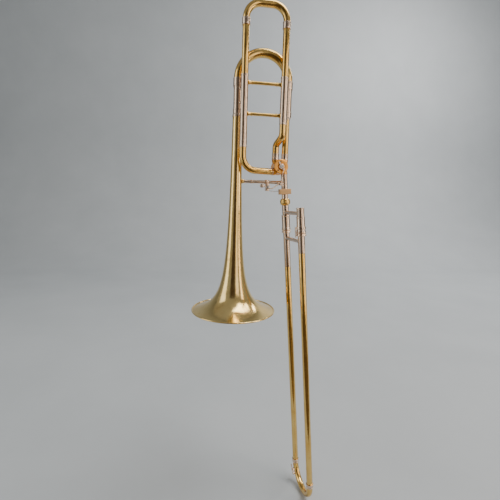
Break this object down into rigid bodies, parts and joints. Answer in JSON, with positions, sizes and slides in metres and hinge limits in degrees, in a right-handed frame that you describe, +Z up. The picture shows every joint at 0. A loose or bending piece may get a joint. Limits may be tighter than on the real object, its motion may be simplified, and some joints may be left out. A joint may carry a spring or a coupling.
{
  "type": "tenor trombone",
  "caption": "Tenor trombone with flared bell, rotary F attachment in an open wrap, thumb trigger, two tuning slides, hand slide with lock and water key.",
  "frame": {"origin": "centre of the bell mouth, in the plane of the rim bead", "axes": "+Z up along the bell away from its mouth, +X from the bell axis towards the valve and hand slide, -Y towards the side that carries the F loop"},
  "size_m": [0.3211, 0.216, 1.2464],
  "materials": {
    "lacquered_brass": "clear lacquer, polished",
    "gold_brass": "clear lacquer, polished",
    "nickel_silver": "polished",
    "cream_block": "satin lacquer",
    "steel": "polished",
    "cork": "natural cork"
  },
  "bodies": {
    "bell_section": {"bell": "lacquered_brass", "rim_bead": "lacquered_brass", "bell_ferrule": "nickel_silver", "gooseneck_ferrule": "nickel_silver", "main_sleeves": "nickel_silver", "gooseneck": "lacquered_brass", "valve_ferrules": "nickel_silver", "f_sleeves": "nickel_silver", "f_brace_upper": "lacquered_brass", "f_brace_lower": "lacquered_brass", "f_down_bend": "lacquered_brass", "f_s_bend": "lacquered_brass", "f_ferrules": "nickel_silver", "wrap_posts": "nickel_silver", "valve_casing": "gold_brass", "valve_front_plate": "gold_brass", "valve_back_cap": "gold_brass", "bumper_plate": "gold_brass", "bumper_corks": "cork", "bell_brace": "nickel_silver", "brace_flanges": "lacquered_brass", "receiver_tube": "nickel_silver", "receiver_block": "cream_block", "trigger_saddle": "lacquered_brass", "trigger_pin": "steel", "trigger_spring": "steel"},
    "valve_rotor": {"rotor": "lacquered_brass", "stop_arm": "nickel_silver", "stop_screw": "steel"},
    "link": {"link_rod": "nickel_silver"},
    "trigger": {"trigger_lever": "nickel_silver", "trigger_paddle": "nickel_silver"},
    "main_slide": {"main_crook": "lacquered_brass", "main_crook_ferrules": "nickel_silver", "main_inner_legs": "nickel_silver"},
    "f_slide": {"f_crook": "lacquered_brass", "f_crook_ferrules": "nickel_silver", "f_legs": "lacquered_brass", "f_inner_legs": "nickel_silver"},
    "nut": {"lock_nut": "lacquered_brass"},
    "inner_slide": {"tenon": "nickel_silver", "inner_tubes": "nickel_silver", "stockings": "nickel_silver", "cork_barrel_bell": "nickel_silver", "cork_barrel_mouth": "nickel_silver", "cork_rings": "cork", "inner_brace": "nickel_silver", "mouthpiece_receiver": "nickel_silver", "leadpipe": "lacquered_brass"},
    "lock_ring": {"slide_lock": "nickel_silver"},
    "outer_slide": {"outer_tubes": "lacquered_brass", "grip_sleeves": "nickel_silver", "outer_flanges": "nickel_silver", "outer_brace": "nickel_silver", "bow": "lacquered_brass", "bow_ferrules": "nickel_silver", "water_key_saddle": "nickel_silver"},
    "water_key": {"water_key_lever": "nickel_silver", "water_key_cork": "cork"}
  },
  "joints": [
    {"name": "rotor_turn", "type": "hinge", "parent": "bell_section", "child": "valve_rotor", "pos_m": [0.109, 0, 0.369], "axis": [0, -1, 0], "range_deg": [0, 90]},
    {"name": "link_swivel", "type": "hinge", "parent": "valve_rotor", "child": "link", "pos_m": [0.11325, -0.0257, 0.36164], "axis": [0, 1, 0], "range_deg": [0, 90]},
    {"name": "trigger_press", "type": "hinge", "parent": "bell_section", "child": "trigger", "pos_m": [0.0775, -0.019, 0.318], "axis": [0, -1, 0], "range_deg": [0, 20.16], "stiffness_Nm_per_rad": 0.08, "springref_deg": -20.05},
    {"name": "main_tuning_slide", "type": "slide", "parent": "bell_section", "child": "main_slide", "axis": [0, 0, 1], "range_m": [0, 0.04]},
    {"name": "f_tuning_slide", "type": "slide", "parent": "bell_section", "child": "f_slide", "axis": [0, 0, 1], "range_m": [0, 0.08]},
    {"name": "lock_nut_turn", "type": "hinge", "parent": "bell_section", "child": "nut", "pos_m": [0.12701, 0, 0.28329], "axis": [-0.0872, 0, 0.9962], "continuous": true},
    {"name": "slide_swivel", "type": "hinge", "parent": "bell_section", "child": "inner_slide", "pos_m": [0.12797, 0, 0.27233], "axis": [-0.0872, 0, 0.9962], "range_deg": [-40, 30]},
    {"name": "slide_lock_turn", "type": "hinge", "parent": "inner_slide", "child": "lock_ring", "pos_m": [0.14439, -0.0926, 0.22458], "axis": [0.0872, 0, -0.9962], "range_deg": [0, 30]},
    {"name": "hand_slide", "type": "slide", "parent": "inner_slide", "child": "outer_slide", "axis": [0.0872, 0, -0.9962], "range_m": [0, 0.6]},
    {"name": "water_key_press", "type": "hinge", "parent": "outer_slide", "child": "water_key", "pos_m": [0.1823, -0.00553, -0.47804], "axis": [-0.069, 0.8586, -0.5079], "range_deg": [0, 16], "stiffness_Nm_per_rad": 0.02, "springref_deg": -28.65}
  ],
  "couplings": [
    {"joint": "link_swivel", "follows": "rotor_turn", "ratio": 1},
    {"joint": "trigger_press", "follows": "rotor_turn", "ratio": 0.22405}
  ]
}
